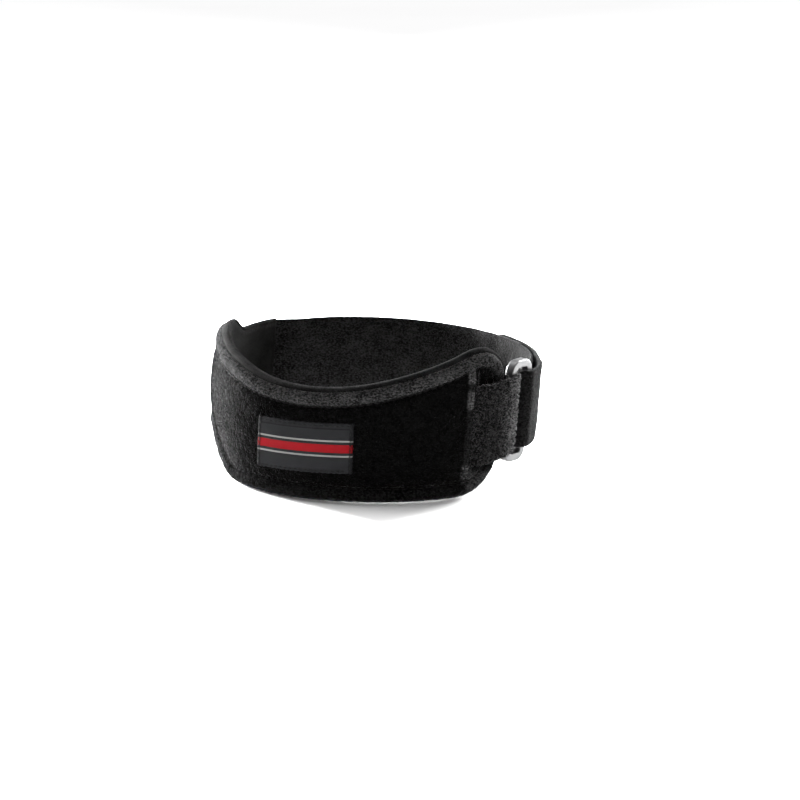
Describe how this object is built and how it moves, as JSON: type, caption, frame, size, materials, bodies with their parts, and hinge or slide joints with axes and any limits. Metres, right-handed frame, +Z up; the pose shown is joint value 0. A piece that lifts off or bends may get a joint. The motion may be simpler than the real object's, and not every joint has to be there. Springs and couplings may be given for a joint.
{
  "type": "patella strap",
  "caption": "Plush padded strap that wraps the leg just below the kneecap and fastens through a metal ring with hook and loop.",
  "frame": {"origin": "middle of the loop that goes round the leg, half way up the closure strap", "axes": "+Z up the leg, -Y through the dip in the panel's top edge at the front of the knee, +X towards the ring"},
  "size_m": [0.1469, 0.1249, 0.0603],
  "materials": {
    "plush": "short brushed plush, near black",
    "lining": "smooth knitted neoprene lining, dark grey",
    "label": "woven satin ribbon, dark grey",
    "loop_tape": "loop pile, charcoal",
    "ring_metal": "satin nickel plate",
    "strap": "brushed elastic webbing, charcoal black"
  },
  "bodies": {
    "root": {"front_pad": "plush", "lining": "lining", "label": "label", "ring_tab": "loop_tape", "ring": "ring_metal", "closure_strap": "strap"}
  },
  "joints": []
}
